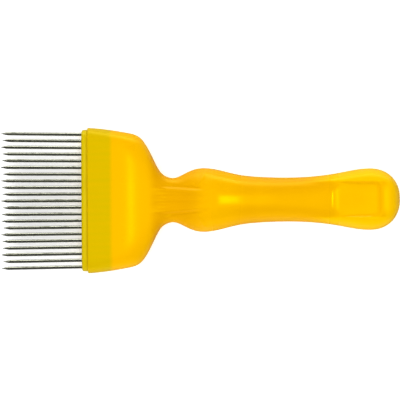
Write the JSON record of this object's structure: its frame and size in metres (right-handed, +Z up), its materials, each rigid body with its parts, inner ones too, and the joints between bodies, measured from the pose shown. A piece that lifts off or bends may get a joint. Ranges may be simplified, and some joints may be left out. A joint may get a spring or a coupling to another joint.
{
  "type": "uncapping fork",
  "caption": "Hand fork for scraping wax caps off honeycomb: contoured hollow plastic handle, wide head and one row of straight pointed steel needles.",
  "frame": {"origin": "at the height of the table, under the middle of the whole length, with the fork lying on its back", "axes": "+X from the needle tips towards the end of the handle, +Y across the head, +Z up through the front face"},
  "size_m": [0.195, 0.071, 0.0159],
  "materials": {
    "handle_plastic": "moulded gloss, warm yellow",
    "block_plastic": "moulded gloss, lemon yellow",
    "needle_steel": "bright drawn stainless wire, ground points"
  },
  "bodies": {
    "root": {"front_shell": "handle_plastic", "rear_shell": "handle_plastic", "needle_block": "block_plastic", "needle_01": "needle_steel", "needle_02": "needle_steel", "needle_03": "needle_steel", "needle_04": "needle_steel", "needle_05": "needle_steel", "needle_06": "needle_steel", "needle_07": "needle_steel", "needle_08": "needle_steel", "needle_09": "needle_steel", "needle_10": "needle_steel", "needle_11": "needle_steel", "needle_12": "needle_steel", "needle_13": "needle_steel", "needle_14": "needle_steel", "needle_15": "needle_steel", "needle_16": "needle_steel", "needle_17": "needle_steel", "needle_18": "needle_steel", "needle_19": "needle_steel", "needle_20": "needle_steel", "needle_21": "needle_steel"}
  },
  "joints": []
}
